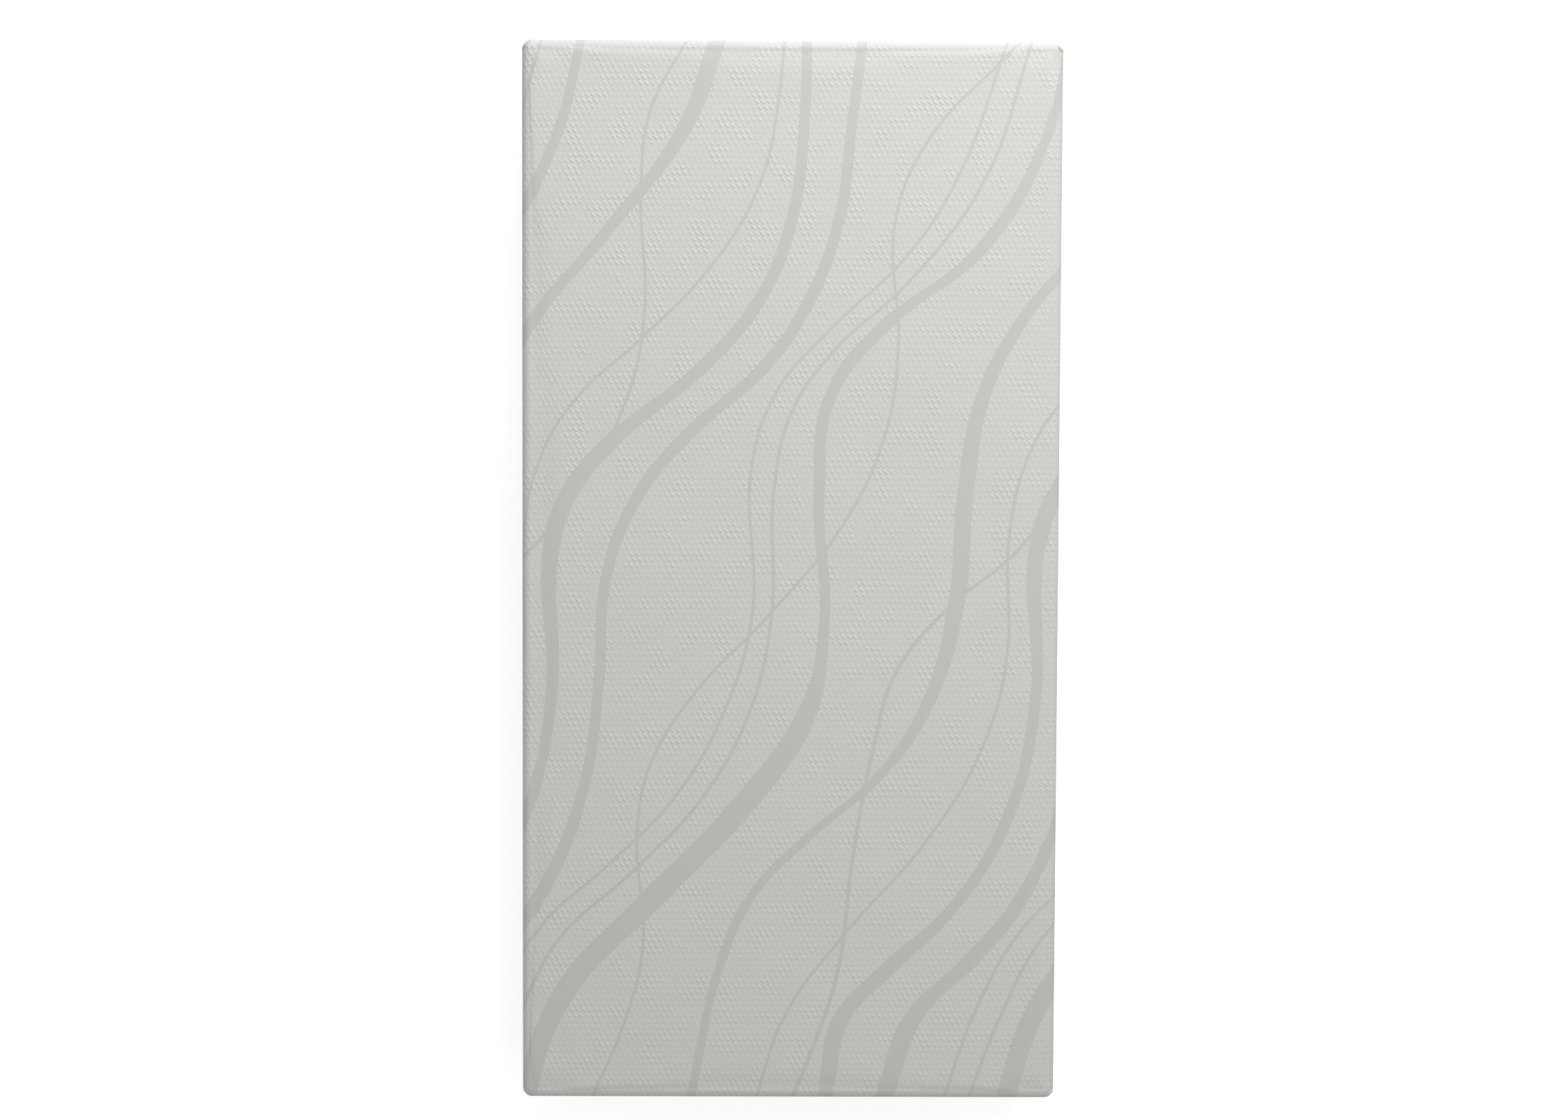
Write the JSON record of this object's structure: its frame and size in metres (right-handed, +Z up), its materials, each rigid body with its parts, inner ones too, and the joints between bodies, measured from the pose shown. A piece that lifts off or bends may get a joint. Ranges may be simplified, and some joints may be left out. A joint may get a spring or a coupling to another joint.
{
  "type": "memory foam mattress",
  "caption": "Twin-size foam mattress with rounded edges: layered foam in a thin sleeve, inside a wavy-patterned knit cover that zips to a cloth base near the floor.",
  "frame": {"origin": "middle of the underside, on the floor", "axes": "+X across the width towards the zipped side, +Y along the length to the head end, +Z up to the sleep face"},
  "size_m": [0.9691, 1.905, 0.203],
  "materials": {
    "cover_knit": "matte",
    "base_cloth": "matte",
    "barrier_knit": "matte",
    "memory_foam": "matte",
    "transition_foam": "matte",
    "support_foam": "matte",
    "zip_tape": "matte",
    "zip_coil": "satin",
    "stop_metal": "satin",
    "slider_metal": "satin"
  },
  "bodies": {
    "mattress": {"support_foam_core": "support_foam", "transition_foam_layer": "transition_foam", "memory_foam_layer": "memory_foam", "fire_barrier_sleeve": "barrier_knit", "cover_top": "cover_knit", "cover_base": "base_cloth", "zip_tape_upper": "zip_tape", "zip_tape_lower": "zip_tape", "zip_coil_upper": "zip_coil", "zip_coil_lower": "zip_coil", "zip_top_stops": "stop_metal", "zip_bottom_stop": "stop_metal", "zip_end_patch": "base_cloth"},
    "slider": {"slider_body": "slider_metal"},
    "pull": {"pull_tab": "slider_metal"}
  },
  "joints": [
    {"name": "slider_travel", "type": "slide", "parent": "mattress", "child": "slider", "axis": [0, -1, 0], "range_m": [0, 1.771]},
    {"name": "pull_swing", "type": "hinge", "parent": "slider", "child": "pull", "pos_m": [0.4847, 0.8492, 0.03], "axis": [0, 0, 1], "range_deg": [0, 180]}
  ]
}
